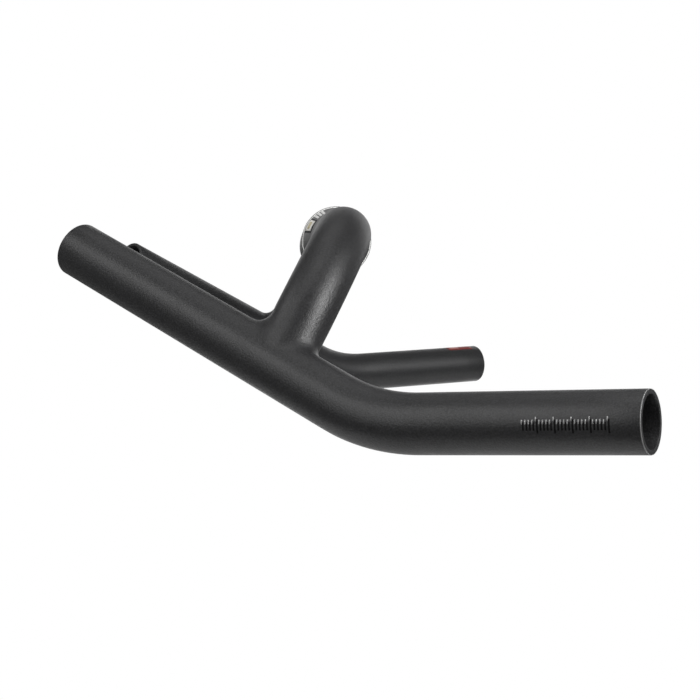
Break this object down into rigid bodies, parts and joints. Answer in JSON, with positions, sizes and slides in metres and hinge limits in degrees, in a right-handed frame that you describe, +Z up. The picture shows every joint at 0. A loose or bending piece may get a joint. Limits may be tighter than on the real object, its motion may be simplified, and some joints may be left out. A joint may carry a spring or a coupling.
{
  "type": "gravel drop handlebar",
  "caption": "One-piece drop handlebar: tapered crossbar whose ends bend down and blend into swept tubes with forward lever seats and flared drops.",
  "frame": {"origin": "centre of the clamp zone, on the crossbar's axis and in the plane of symmetry", "axes": "+X forward, +Y to the rider's left along the crossbar, +Z up, with the drops level"},
  "size_m": [0.2155, 0.5596, 0.0984],
  "materials": {
    "black_anodised": "bead-blasted and anodised matt black, fine grained"
  },
  "bodies": {
    "root": {"handlebar": "black_anodised"}
  },
  "joints": []
}
